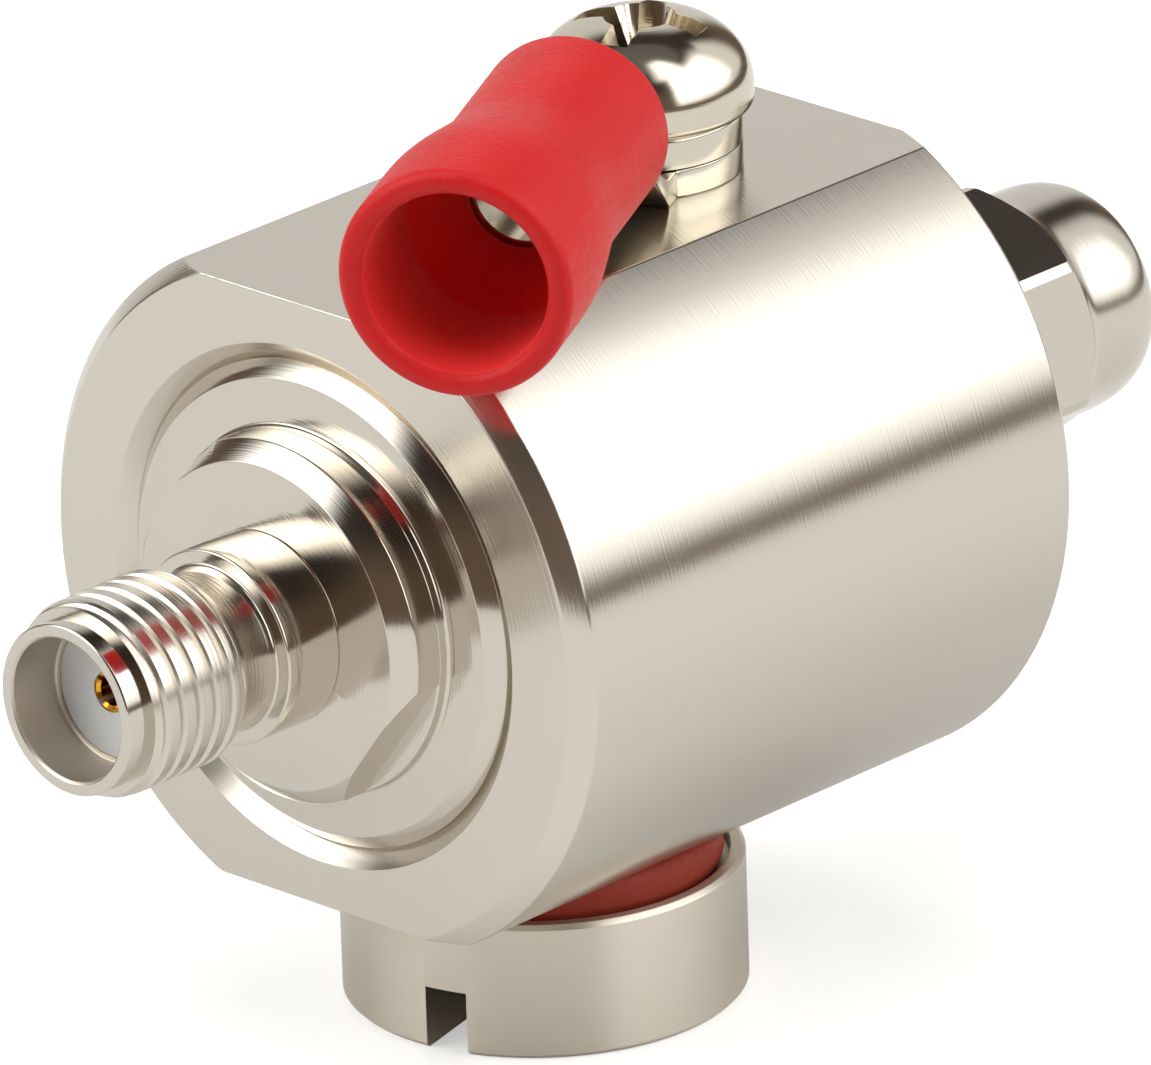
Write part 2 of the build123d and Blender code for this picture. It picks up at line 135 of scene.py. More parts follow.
def object_point(tree, centre=(0, 0, 0)):
    """Object coordinates in millimetres, measured from centre."""
    place = add(tree, "ShaderNodeTexCoord").outputs["Object"]
    scaled = add(tree, "ShaderNodeVectorMath", {0: place, 1: [1 / MM] * 3},
                 operation="MULTIPLY").outputs[0]
    return add(tree, "ShaderNodeVectorMath", {0: scaled, 1: centre},
               operation="SUBTRACT").outputs[0]


def plated_metal(name, base, roughness, axis="X", centre=(0, 0, 0), lines=0.25, anisotropy=0.0):
    """Turned metal: rings round the axis on every face, under a plate with a faint grain."""
    mat, tree, shader = new_material(name)
    point = object_point(tree, centre)
    split = add(tree, "ShaderNodeSeparateXYZ", {0: point}).outputs
    along, across = {"X": (0, (1, 2)), "Z": (2, (0, 1))}[axis]
    flat = add(tree, "ShaderNodeCombineXYZ",
               {0: split[across[0]], 1: split[across[1]]}).outputs[0]
    radius = add(tree, "ShaderNodeVectorMath", {0: flat}, operation="LENGTH").outputs["Value"]
    reach = add(tree, "ShaderNodeMath", {0: split[along], 1: radius}, operation="ADD").outputs[0]
    ring = add(tree, "ShaderNodeCombineXYZ", {0: reach}).outputs[0]
    tool = add(tree, "ShaderNodeTexNoise",
               {"Vector": ring, "Scale": 1 / TOOL_PITCH, "Detail": 1.0}).outputs[0]
    broad = add(tree, "ShaderNodeTexNoise",
                {"Vector": point, "Scale": PATCHES_PER_MM, "Detail": 2.0}).outputs[0]
    fine = add(tree, "ShaderNodeTexNoise",
               {"Vector": point, "Scale": GRAINS_PER_MM, "Detail": 1.0}).outputs[0]
    least, by_ring, by_patch, grain_height = roughness * 0.82, roughness * 0.35, 0.04, 0.04
    rough = add(tree, "ShaderNodeMath", {0: tool, 1: by_ring, 2: least},
                operation="MULTIPLY_ADD").outputs[0]
    patchy = add(tree, "ShaderNodeMath", {0: broad, 1: by_patch, 2: rough},
                 operation="MULTIPLY_ADD").outputs[0]
    shade = add(tree, "ShaderNodeMapRange",
                {0: fine, 1: 0.3, 2: 0.75, 3: 0.97, 4: 1.0}).outputs[0]
    deep = [c * 0.86 for c in base[:3]] + [1]
    tint = add(tree, "ShaderNodeMix", {"Factor": shade, 6: deep, 7: base},
               data_type="RGBA").outputs[2]
    height = add(tree, "ShaderNodeMath", {0: fine, 1: grain_height, 2: tool},
                 operation="MULTIPLY_ADD").outputs[0]
    bump = add(tree, "ShaderNodeBump",
               {"Height": height, "Strength": lines, "Distance": RING_DEPTH}).outputs[0]
    tree.links.new(patchy, shader.inputs["Roughness"])
    tree.links.new(tint, shader.inputs["Base Color"])
    tree.links.new(bump, shader.inputs["Normal"])
    shader.inputs["Metallic"].default_value = 1.0
    if anisotropy:
        shader.inputs["Anisotropic"].default_value = anisotropy
        shader.inputs["Anisotropic Rotation"].default_value = 0.25
        tangent = add(tree, "ShaderNodeTangent", direction_type="RADIAL", axis=axis).outputs[0]
        tree.links.new(tangent, shader.inputs["Tangent"])
    return mat


def moulded(name, base, deep, roughness, grain, bump, glow=0.0, glow_reach=(1, 0.2, 0.1),
            drawn=0.0):
    """Moulded plastic or rubber with a fine grain; drawn adds wavy lines round the barrel.

    grain and bump are in millimetres, and glow is the share of light that goes in."""
    mat, tree, shader = new_material(name)
    point = object_point(tree)
    broad = add(tree, "ShaderNodeTexNoise",
                {"Vector": point, "Scale": TINTS_PER_MM, "Detail": 3.0}).outputs[0]
    skin = add(tree, "ShaderNodeTexNoise",
               {"Vector": point, "Scale": 1 / grain, "Detail": 3.0}).outputs[0]
    tint = add(tree, "ShaderNodeMix", {"Factor": broad, 6: deep, 7: base},
               data_type="RGBA").outputs[2]
    rough = add(tree, "ShaderNodeMapRange",
                {0: skin, 1: 0.3, 2: 0.7, 3: roughness * 0.85, 4: roughness * 1.15}).outputs[0]
    if drawn:
        away = math.cos(BARREL_TILT)
        way = (away * math.cos(BARREL_TURN), away * math.sin(BARREL_TURN), -math.sin(BARREL_TILT))
        along = add(tree, "ShaderNodeVectorMath", {0: point, 1: way},
                    operation="DOT_PRODUCT").outputs["Value"]
        wavy = add(tree, "ShaderNodeMath", {0: broad, 1: DRAWN_WANDER, 2: along},
                   operation="MULTIPLY_ADD").outputs[0]
        bent = add(tree, "ShaderNodeCombineXYZ", {0: wavy}).outputs[0]
        line = add(tree, "ShaderNodeTexNoise",
                   {"Vector": bent, "Scale": 1 / DRAWN_PITCH, "Detail": 2.0}).outputs[0]
        skin = add(tree, "ShaderNodeMath", {0: line, 1: drawn, 2: skin},
                   operation="MULTIPLY_ADD").outputs[0]
    relief = add(tree, "ShaderNodeBump",
                 {"Height": skin, "Strength": 0.5, "Distance": bump * MM}).outputs[0]
    tree.links.new(tint, shader.inputs["Base Color"])
    tree.links.new(rough, shader.inputs["Roughness"])
    tree.links.new(relief, shader.inputs["Normal"])
    if glow:
        shader.inputs["Subsurface Weight"].default_value = glow
        shader.inputs["Subsurface Radius"].default_value = glow_reach
        shader.inputs["Subsurface Scale"].default_value = LIGHT_REACH
    return mat


# Satin nickel plate on turned brass: a warm grey that spreads light across the turning rings
satin_nickel = plated_metal("satin_nickel_turned", colour("#D6CFC4"), 0.18, anisotropy=0.8,
                            lines=0.32)
# The same plate on the cap, duller: light runs round it without a clear image
satin_nickel_cap = plated_metal("satin_nickel_cap", colour("#DCD4C7"), 0.34, axis="Z",
                                centre=(X_TUBE, 0, 0), lines=0.3, anisotropy=0.8)
# Bright nickel plate: a warm mirror with hard bright and dark bands
bright_nickel = plated_metal("bright_nickel_plate", colour("#D2CBC0"), 0.10, lines=0.15)
# Nickel over a cut thread: the crests shine, but nothing is mirrored clearly
cut_thread = plated_metal("nickel_plated_thread", colour("#D4CDC2"), 0.22, lines=0.2)
# Nickel deep in a bore: thin and dull, an even grey
bored_nickel = plated_metal("nickel_plated_bore", colour("#D0C8BC"), 0.42, lines=0.4)
# Nickel on the coupling nut: a mirror a little softer than the socket's
nut_nickel = plated_metal("nickel_plated_nut", colour("#D2CBC0"), 0.17, lines=0.2)
# Nickel plate on a steel screw and washer: a clear mirror, slightly yellow
plated_steel = plated_metal("nickel_plated_steel", colour("#D8D0C0"), 0.12, axis="Z",
                            centre=(X_SCREW, 0, 0), lines=0.15)
# Bright tin on stamped copper: lighter and a little softer than the screw
tinned_copper = plated_metal("bright_tinned_copper", colour("#DAD5C8"), 0.16, axis="Z",
                             centre=(X_SCREW, 0, 0), lines=0.1)
# Thin gold plate on the contacts: a deep yellow glint in the white mouth
gold_plate = plated_metal("gold_plate", colour("#E2A63C"), 0.14, lines=0.1)
# Turned brass without plate, inside: yellow with a soft shine
bare_brass = plated_metal("turned_brass", colour("#D3B169"), 0.22)
# Hard bronze wire and strip, inside: brown and rather dull
spring_bronze = plated_metal("spring_bronze", colour("#C79B6B"), 0.28)
# Tinned electrode of the gas tube, inside: a plain satin grey
electrode_metal = plated_metal("tinned_electrode", colour("#BDBBB6"), 0.3, axis="Z",
                               centre=(X_TUBE, 0, 0))
# Machined fluoroplastic: a waxy cool white with soft edges
fluoroplastic = moulded("white_fluoroplastic", colour("#D9DADA"), colour("#CCCDCE"), 0.42, 0.2,
                        0.01, glow=0.15, glow_reach=(1, 1, 1))
# Unglazed alumina, inside: chalk white without shine
ceramic = moulded("unglazed_alumina", colour("#EDEBE6"), colour("#E2DFD8"), 0.55, 0.15, 0.01)
# Moulded silicone rubber: brick red and dull
silicone = moulded("red_silicone_rubber", colour("#9A3420"), colour("#7E2414"), 0.6, 0.25, 0.03)
# Soft drawn vinyl: strong red with a low sheen and faint lines round the sleeve
vinyl = moulded("soft_red_vinyl", colour("#CE1416"), colour("#C20E12"), 0.5, 0.22, 0.03,
                glow=0.08, drawn=2.4)
# The same vinyl in the sleeve's mouth, painted lighter: the light that comes through its wall is
# painted into its colour
lit_vinyl = moulded("soft_red_vinyl_lit_through", colour("#EC2A28"), colour("#DC1A1A"), 0.5,
                    0.22, 0.03, glow=0.08)
for dull, level, sheen in ((silicone, 0.3, 0), (vinyl, 0.3, 0.04), (lit_vinyl, 0.5, 0.1)):
    shader = dull.node_tree.nodes["Principled BSDF"]
    shader.inputs["Specular IOR Level"].default_value = level
    shader.inputs["Sheen Weight"].default_value = sheen

finishes = {
    "nickel_plate": satin_nickel, "bright_nickel": bright_nickel,
    "white_fluoroplastic": fluoroplastic, "gold_plate": gold_plate, "bare_brass": bare_brass,
    "spring_bronze": spring_bronze, "red_silicone": silicone, "white_ceramic": ceramic,
    "electrode_metal": electrode_metal, "plated_steel": plated_steel,
    "tinned_copper": tinned_copper, "red_vinyl": vinyl,
}
for part in frame["record"]["subparts"]:
    nodes[part["node"]].material_slots[0].material = finishes[part["material_slot"]]
nodes["tube_cap"].material_slots[0].material = satin_nickel_cap


# Shapes, all in millimetres until a piece is finished
def softened(outline, fillet=EDGE, steps=4):
    """Round each corner of a closed (along, radius) outline; a third value sets its own fillet."""
    nearly_straight, longest_share = math.radians(170), 0.45
    corners = [(Vector(c[:2]), c[2] if len(c) > 2 else fillet) for c in outline]
    points = []
    for i, (corner, wish) in enumerate(corners):
        before = corners[i - 1][0] - corner
        after = corners[(i + 1) % len(corners)][0] - corner
        turn = before.angle(after)
        if corner.y < ON_AXIS or wish <= 0 or turn > nearly_straight:
            points.append(tuple(corner))
            continue
        back = wish / math.tan(turn / 2)
        back = min(back, longest_share * before.length, longest_share * after.length)
        size = back * math.tan(turn / 2)
        middle = (before.normalized() + after.normalized()).normalized()
        centre = corner + middle * (size / math.sin(turn / 2))
        first = corner + before.normalized() * back - centre
        last = corner + after.normalized() * back - centre
        sweep = first.angle_signed(last)
        for k in range(steps + 1):
            a = -sweep * k / steps
            c, s = math.cos(a), math.sin(a)
            points.append((centre.x + first.x * c - first.y * s,
                           centre.y + first.x * s + first.y * c))
    return points


def turned(outline, around=ROUND):
    """Revolve a closed (along, radius) outline about the X axis into a solid."""
    bm = bmesh.new()
    rings = []
    for along, radius in outline:
        if radius < ON_AXIS:
            rings.append([bm.verts.new((along, 0, 0))])
            continue
        rings.append([bm.verts.new((along, radius * math.cos(2 * math.pi * k / around),
                                    radius * math.sin(2 * math.pi * k / around)))
                      for k in range(around)])
    for ring, following in zip(rings, rings[1:] + rings[:1]):
        for k in range(around):
            j = (k + 1) % around
            corners = [ring[k % len(ring)], ring[j % len(ring)],
                       following[j % len(following)], following[k % len(following)]]
            corners = list(dict.fromkeys(corners))
            if len(corners) > 2:
                bm.faces.new(corners)
    bmesh.ops.recalc_face_normals(bm, faces=bm.faces)
    return bm


def upright(bm, x):
    """Stand a solid made along X up along Z at x."""
    bm.transform(Matrix.Translation((x, 0, 0)) @ Matrix.Rotation(math.radians(-90), 4, "Y"))
    return bm


def on_barrel(bm):
    """Lay a solid made along X on the axis of the crimp barrel."""
    bm.transform(Matrix.Translation(BARREL_START) @ Matrix.Rotation(BARREL_TURN, 4, "Z")
                 @ Matrix.Rotation(BARREL_TILT, 4, "Y"))
    return bm


def milled(bm, point, normal):
    """Cut away all that lies beyond a plane and close the cut."""
    everything = bm.verts[:] + bm.edges[:] + bm.faces[:]
    cut = bmesh.ops.bisect_plane(bm, geom=everything, plane_co=point, plane_no=normal,
                                 clear_outer=True)
    rim = [e for e in cut["geom_cut"] if isinstance(e, bmesh.types.BMEdge)]
    bmesh.ops.holes_fill(bm, edges=rim, sides=0)


def box(size, centre):
    """A block by its three sizes."""
    bm = bmesh.new()
    bmesh.ops.create_cube(bm, size=1)
    bm.transform(Matrix.Translation(centre) @ Matrix.Diagonal((*size, 1)))
    return bm


def as_object(bm, name):
    """An object in the scene from a solid, which is used up."""
    mesh = bpy.data.meshes.new(name)
    bm.to_mesh(mesh)
    bm.free()
    made = bpy.data.objects.new(name, mesh)
    bpy.context.scene.collection.objects.link(made)
    return made


def evaluated(made):
    """An object's mesh with its modifiers done."""
    return bpy.data.meshes.new_from_object(
        made.evaluated_get(bpy.context.evaluated_depsgraph_get()))


def carved(bm, cutter):
    """Subtract one solid from another; both are used up."""
    blank = as_object(bm, "blank")
    tool = as_object(cutter, "tool")
    cut = blank.modifiers.new("cut", "BOOLEAN")
    cut.operation = "DIFFERENCE"
    cut.solver = "EXACT"
    cut.object = tool
    result = bmesh.new()
    result.from_mesh(evaluated(blank))
    bpy.data.objects.remove(blank)
    bpy.data.objects.remove(tool)
    return result


def bevelled(bm, width, angle, where, clamp=True):
    """Break the edges sharper than an angle that where() accepts."""
    bm.normal_update()
    edges = [e for e in bm.edges
             if e.is_manifold and e.calc_face_angle(0) > math.radians(angle) and where(e)]
    bmesh.ops.bevel(bm, geom=edges, offset=width, segments=3, profile=0.5, affect="EDGES",
                    clamp_overlap=clamp)
    return bm


def joined(*solids):
    """Several solids as one; each is used up."""
    whole = bmesh.new()
    for bm in solids:
        mesh = bpy.data.meshes.new("joined")
        bm.to_mesh(mesh)
        bm.free()
        whole.from_mesh(mesh)
        bpy.data.meshes.remove(mesh)
    return whole


def marked(bm, index, where=None):
    """Give the faces of a solid, or those that where() accepts, another finish of the piece."""
    for face in bm.faces:
        if where is None or where(face.calc_center_median()):
            face.material_index = index


def rounded_copy(node, width, where):
    """A CAD solid's own mesh, merged, with the sharp edges that where() accepts broken."""
    flat_within = math.radians(0.5)
    mesh = nodes[node].data.copy()
    mesh.attributes.remove(mesh.attributes["custom_normal"])
    bm = bmesh.new()
    bm.from_mesh(mesh)
    bm.transform(Matrix.Scale(1 / MM, 4) @ nodes[node].matrix_world)
    bmesh.ops.remove_doubles(bm, verts=bm.verts, dist=WELD)
    bmesh.ops.dissolve_limit(bm, angle_limit=flat_within, verts=bm.verts, edges=bm.edges)
    return bevelled(bm, width, 20, where, clamp=False)


def finish_piece(name, bm, body, coats, replaced, sharp=26):
    """Scale a solid to metres and put it on its body in place of its CAD node."""
    bm.transform(Matrix.Scale(MM, 4))
    made = as_object(bm, name)
    for coat in coats:
        made.data.materials.append(coat)
    made.data.polygons.foreach_set("use_smooth", [True] * len(made.data.polygons))
    made.data.set_sharp_from_angle(angle=math.radians(sharp))
    even = made.modifiers.new("even", "WEIGHTED_NORMAL")
    even.keep_sharp = True
    made.data = evaluated(made)
    made.modifiers.clear()
    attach(made, body)
    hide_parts(replaced)


# Screw threads
def thread_tree():
    """A helical ridge round the X axis, made from a flat strip of one pitch's width."""
    across = 24
    flank_end = (across / 2 - 1) / across
    tree = bpy.data.node_groups.new("screw_thread", "GeometryNodeTree")
    for name, kind in (("Start", "NodeSocketFloat"), ("Length", "NodeSocketFloat"),
                       ("Pitch", "NodeSocketFloat"), ("Root radius", "NodeSocketFloat"),
                       ("Crest radius", "NodeSocketFloat"), ("Lead", "NodeSocketFloat"),
                       ("Land", "NodeSocketFloat"),
                       ("Turns", "NodeSocketInt"), ("Steps a turn", "NodeSocketInt"),
                       ("Inside", "NodeSocketBool"), ("Finish", "NodeSocketMaterial")):
        tree.interface.new_socket(name=name, in_out="INPUT", socket_type=kind)
    tree.interface.new_socket(name="Geometry", in_out="OUTPUT", socket_type="NodeSocketGeometry")
    given = add(tree, "NodeGroupInput").outputs
    steps = add(tree, "ShaderNodeMath", {0: given["Turns"], 1: given["Steps a turn"], 2: 1},
                operation="MULTIPLY_ADD").outputs[0]
    strip = add(tree, "GeometryNodeMeshGrid",
                {"Size X": given["Turns"], "Size Y": 1.0, "Vertices X": steps,
                 "Vertices Y": across + 1}).outputs[0]
    place = add(tree, "GeometryNodeInputPosition").outputs[0]
    split = add(tree, "ShaderNodeSeparateXYZ", {0: place}).outputs
    turns = add(tree, "ShaderNodeMath", {0: given["Turns"], 1: 0.5, 2: split[0]},
                operation="MULTIPLY_ADD").outputs[0]
    angle = add(tree, "ShaderNodeMath", {0: turns, 1: 2 * math.pi},
                operation="MULTIPLY").outputs[0]
    both = add(tree, "ShaderNodeMath", {0: turns, 1: split[1]}, operation="ADD").outputs[0]
    late = add(tree, "ShaderNodeMath", {0: both, 1: 0.5}, operation="SUBTRACT").outputs[0]
    raw = add(tree, "ShaderNodeMath", {0: late, 1: given["Pitch"], 2: given["Start"]},
              operation="MULTIPLY_ADD").outputs[0]
    end = add(tree, "ShaderNodeMath", {0: given["Start"], 1: given["Length"]},
              operation="ADD").outputs[0]
    along = add(tree, "ShaderNodeClamp", {0: raw, 1: given["Start"], 2: end}).outputs[0]
    from_start = add(tree, "ShaderNodeMath", {0: along, 1: given["Start"]},
                     operation="SUBTRACT").outputs[0]
    to_end = add(tree, "ShaderNodeMath", {0: end, 1: along}, operation="SUBTRACT").outputs[0]
    nearer = add(tree, "ShaderNodeMath", {0: from_start, 1: to_end},
                 operation="MINIMUM").outputs[0]
    lead = add(tree, "ShaderNodeMath", {0: nearer, 1: given["Lead"]}, operation="DIVIDE",
               use_clamp=True).outputs[0]
    off = add(tree, "ShaderNodeMath", {0: split[1]}, operation="ABSOLUTE").outputs[0]
    crest_edge = add(tree, "ShaderNodeMath", {0: given["Land"], 1: 0.5},
                     operation="MULTIPLY").outputs[0]
    flank = add(tree, "ShaderNodeMapRange",
                {0: off, 1: crest_edge, 2: flank_end, 3: 1.0, 4: 0.0}).outputs[0]
    height = add(tree, "ShaderNodeMath", {0: flank, 1: lead}, operation="MINIMUM").outputs[0]
    depth = add(tree, "ShaderNodeMath", {0: given["Crest radius"], 1: given["Root radius"]},
                operation="SUBTRACT").outputs[0]
    radius = add(tree, "ShaderNodeMath", {0: height, 1: depth, 2: given["Root radius"]},
                 operation="MULTIPLY_ADD").outputs[0]
    cosine = add(tree, "ShaderNodeMath", {0: angle}, operation="COSINE").outputs[0]
    sine = add(tree, "ShaderNodeMath", {0: angle}, operation="SINE").outputs[0]
    y = add(tree, "ShaderNodeMath", {0: cosine, 1: radius}, operation="MULTIPLY").outputs[0]
    z = add(tree, "ShaderNodeMath", {0: sine, 1: radius}, operation="MULTIPLY").outputs[0]
    wound = add(tree, "ShaderNodeCombineXYZ", {0: along, 1: y, 2: z}).outputs[0]
    moved = add(tree, "GeometryNodeSetPosition",
                {"Geometry": strip, "Position": wound}).outputs[0]
    closed = add(tree, "GeometryNodeMergeByDistance",
                 {"Geometry": moved, "Distance": WELD}).outputs[0]
    facing = add(tree, "GeometryNodeFlipFaces",
                 {"Mesh": closed, "Selection": given["Inside"]}).outputs[0]
    real = add(tree, "GeometryNodeRealizeInstances", {"Geometry": facing}).outputs[0]
    finished = add(tree, "GeometryNodeSetMaterial",
                   {"Geometry": real, "Material": given["Finish"]}).outputs[0]
    add(tree, "NodeGroupOutput", {"Geometry": finished})
    return tree


threads = thread_tree()


def thread(start, length, pitch, root, crest, finish, land=0.125, inside=False):
    """One thread along X as a mesh; its land, the crest's width, is a share of the pitch."""
    carrier = bpy.data.objects.new("thread", bpy.data.meshes.new("thread"))
    bpy.context.scene.collection.objects.link(carrier)
    winding = carrier.modifiers.new("winding", "NODES")
    winding.node_group = threads
    wanted = {"Start": start, "Length": length, "Pitch": pitch, "Root radius": root,
              "Crest radius": crest, "Lead": THREAD_RUN_OUT, "Land": land,
              "Steps a turn": THREAD_STEPS, "Turns": math.ceil(length / pitch) + 1,
              "Inside": inside, "Finish": finish}
    for item in threads.interface.items_tree:
        if item.in_out == "INPUT":
            winding[item.identifier] = wanted[item.name]
    bm = bmesh.new()
    bm.from_mesh(evaluated(carrier))
    bpy.data.objects.remove(carrier)
    return bm


# Socket body: thread, neck, collar, boss with two wrench flats, rim and flange
def socket_body():
    mouth, relief, nose, root, crest = 2.3, 2.7, 2.75, 3.0, 3.175
    lip, bore, seat = 2.38, 1.6, 2.12
    neck, collar, boss_radius, flange_radius, spigot = 2.65, 3.15, 5.9, 7.9, 5
    across_flats, flats_turned, mouth_finish_end = 10.4, (37, 217), 0.1
    barrel = turned(softened([
        (X_MOUTH, lip, 0.04), (X_MOUTH, relief, 0.05), (X_MOUTH + 0.05, nose, 0.04),
        (X_THREAD, nose, 0), (X_THREAD, root, 0), (X_THREAD + LAP, root, 0),
        (X_THREAD + LAP, relief, 0), (X_NECK - LAP, relief, 0), (X_NECK - LAP, root, 0),
        (X_NECK + 0.38, neck, 0.1), (X_COLLAR, neck, 0.1), (X_COLLAR, collar, 0.08),
        (X_BOSS + LAP, collar, 0.1), (X_BOSS + LAP, bore, 0), (0, seat, 0), (0, mouth, 0.15),
        (X_MOUTH + 0.08, mouth, 0.04)]))
    marked(barrel, 2, lambda c: c.yz.length < mouth + 0.06 and c.x < mouth_finish_end)

    boss_end = X_FLANGE - 0.4
    boss = turned(softened([
        (X_BOSS, 0, 0), (X_BOSS, 5.3, 0.06), (X_BOSS + 0.6, boss_radius, 0.1),
        (boss_end + LAP, boss_radius, 0), (boss_end + LAP, 0, 0)]), LARGE_ROUND)
    for turn in flats_turned:
        way = Vector((0, math.cos(math.radians(turn)), math.sin(math.radians(turn))))
        milled(boss, way * (across_flats / 2), way)
    bevelled(boss, EDGE, 24, lambda e: all(v.co.x < boss_end for v in e.verts)
             and all(v.co.yz.length > 4.9 for v in e.verts))

    flange = turned(softened([
        (boss_end, 0, 0), (boss_end, boss_radius, 0.07), (X_FLANGE, boss_radius, 0.12),
        (X_FLANGE, flange_radius - 0.5, 0.05), (X_FLANGE + 0.5, flange_radius, 0.03),
        (X_SPIGOT, flange_radius), (X_SPIGOT, spigot), (X_SPIGOT_END, spigot),
        (X_SPIGOT_END, 0, 0)]), LARGE_ROUND)
    ridge = thread(X_THREAD, X_NECK - X_THREAD, COAX_PITCH, root, crest, cut_thread, land=0.58)
    marked(ridge, 1)
    finish_piece("socket_body", joined(barrel, boss, flange, ridge), "arrestor",
                 (bright_nickel, cut_thread, bored_nickel), "front_insert")


# Coupling nut: hexagon with hollow-ground shoulder, round collar, threaded bore
def hex_nut():
    root, crest, seat, ring_groove = 3.06, 2.85, 2.65, 3.1
    half_flats, corners, hexagon_turned = 4.0, 4.52, 51.8
    collar_start = X_NUT_END - 3.25
    collar, dome, mouth_flare = 3.8, 1.6, 0.05
    shoulder_end = collar_start + 0.7
    thread_start = X_FERRULE_ROOT + 0.7
    thread_end = X_NUT_END - mouth_flare
    bore = root + THREAD_LAP
    ring_low, ring_high = X_SNAP_RING - 0.35, X_SNAP_RING + 0.35
    hexagon = turned(softened([
        (X_NUT, seat), (X_NUT, corners - 0.5), (X_NUT + 0.5, corners, 0.2),
        (collar_start - 0.85, corners, 0.2), (collar_start - 0.13, collar, 1.1),
        (shoulder_end, collar, 0), (shoulder_end, bore, 0), (thread_start, bore, 0),
        (thread_start, crest, 0), (X_FERRULE_ROOT, crest, 0), (X_FERRULE_ROOT, seat, 0),
        (ring_high, seat, 0), (ring_high, ring_groove, 0), (ring_low, ring_groove, 0),
        (ring_low, seat, 0)]), LARGE_ROUND)
    for k in range(6):
        turn = math.radians(hexagon_turned + 60 * k)
        way = Vector((0, math.cos(turn), math.sin(turn)))
        milled(hexagon, way * half_flats, way)
    bevelled(hexagon, 0.07, 12, lambda e: all(v.co.yz.length > 3.9 for v in e.verts))

    outline = [(X_NUT_END, 3.1, 0), (thread_end, bore, 0), (shoulder_end - LAP, bore, 0),
               (shoulder_end - LAP, collar, 0)]
    for k in range(13):
        a = math.radians(90 - 7.5 * k)
        outline.append((X_NUT_END - dome + dome * math.cos(a), 3.2 + 0.6 * math.sin(a), 0))
    rounded_collar = turned(softened(outline))
    ridge = thread(thread_start, thread_end - thread_start, COAX_PITCH, root, crest, nut_nickel,
                   inside=True)
    finish_piece("hex_nut", joined(hexagon, rounded_collar, ridge), "nut",
                 (nut_nickel,), "coupling_nut")


# Slotted cap of the gas tube, with its threaded plug
def slotted_cap():
    root, crest, spring_bore = 3.6, 4.0, 2.62
    cap_radius, rim_bore, break_edge = 6.4, 5.9, 0.15
    slot_width, slot_depth, slot_turned = 1.45, 2.1, math.radians(14.5)
    cap = upright(turned(softened([
        (Z_FOOT, 0, 0), (Z_FOOT, cap_radius - break_edge), (Z_FOOT + break_edge, cap_radius),
        (Z_CAP_RIM - break_edge, cap_radius), (Z_CAP_RIM, cap_radius - break_edge),
        (Z_CAP_RIM, rim_bore), (Z_CAP_FLOOR, rim_bore), (Z_CAP_FLOOR, root, 0),
        (Z_CAP_PLUG, root, 0), (Z_CAP_PLUG, spring_bore, 0), (Z_SPRING_SEAT, spring_bore, 0),
        (Z_SPRING_SEAT, 0, 0)]), LARGE_ROUND), X_TUBE)
    slot = box((20, slot_width, 2 * slot_depth), (0, 0, Z_FOOT))
    slot.transform(Matrix.Translation((X_TUBE, 0, 0)) @ Matrix.Rotation(slot_turned, 4, "Z"))
    cap = carved(cap, slot)
    bevelled(cap, 0.06, 60, lambda e: all(v.co.z < Z_FOOT + 2.2 for v in e.verts))
    ridge = upright(thread(Z_CAP_FLOOR, Z_CAP_PLUG - Z_CAP_FLOOR, CAP_PITCH, root + LAP, crest,
                           satin_nickel_cap), X_TUBE)
    finish_piece("slotted_cap", joined(cap, ridge), "cap", (satin_nickel_cap,),
                 "tube_cap")


# Earthing screw: pan head with a cross recess, threaded shank
def earthing_screw():
    root, crest, head, rim, head_height = 1.62, 2.0, 3.5, 0.75, 3.0
    tip, point = Z_HEAD - 7.8, 0.4
    crown_flat = 0.8
    outline = [(tip, 0, 0), (tip, 1.5, 0.1), (tip + point, root, 0), (Z_HEAD, root, 0),
               (Z_HEAD, head, 0.4), (Z_HEAD + rim, head, 0)]
    for k in range(1, 19):
        a = math.radians(5 * k)
        outline.append((Z_HEAD + rim + (head_height - rim) * math.sin(a),
                        crown_flat + (head - crown_flat) * math.cos(a), 0))
    crown = Z_HEAD + head_height
    outline.append((crown, 0, 0))
    screw = upright(turned(softened(outline), 192), X_SCREW)

    # The recess: two crossed wings whose ends slant in, and a cone in the middle
    above, deep = 0.6, 2.0
    wing_length, core_radius = 2.2, 1.15
    flare = 0.22
    shrink = deep * math.tan(math.radians(20))
    for turn in (20, 110):
        wing = bmesh.new()
        corners = []
        for depth, half_long, half_wide in ((-above, wing_length + flare, 0.505),
                                            (deep, wing_length - shrink, 0.325)):
            corners.append([wing.verts.new((x * half_long, y * half_wide, -depth))
                            for x, y in ((-1, -1), (1, -1), (1, 1), (-1, 1))])
        wing.faces.new(corners[0])
        wing.faces.new(corners[1][::-1])
        for k in range(4):
            j = (k + 1) % 4
            wing.faces.new((corners[0][k], corners[1][k], corners[1][j], corners[0][j]))
        bmesh.ops.recalc_face_normals(wing, faces=wing.faces)
        wing.transform(Matrix.Translation((X_SCREW, 0, crown))
                       @ Matrix.Rotation(math.radians(turn), 4, "Z"))
        screw = carved(screw, wing)
    core = upright(turned([
        (crown + above, 0), (crown + above, core_radius + flare),
        (crown - deep, core_radius - shrink), (crown - deep, 0)], 48), X_SCREW)
    screw = carved(screw, core)
    bevelled(screw, 0.07, 35, lambda e: all(v.co.z > Z_HEAD + 1.5 for v in e.verts))
    ridge = upright(thread(tip + point, Z_HEAD - 0.3 - tip - point, SCREW_PITCH,
                           root + THREAD_LAP, crest, plated_steel), X_SCREW)
    finish_piece("earthing_screw", joined(screw, ridge), "screw",
                 (plated_steel,), "ground_screw")


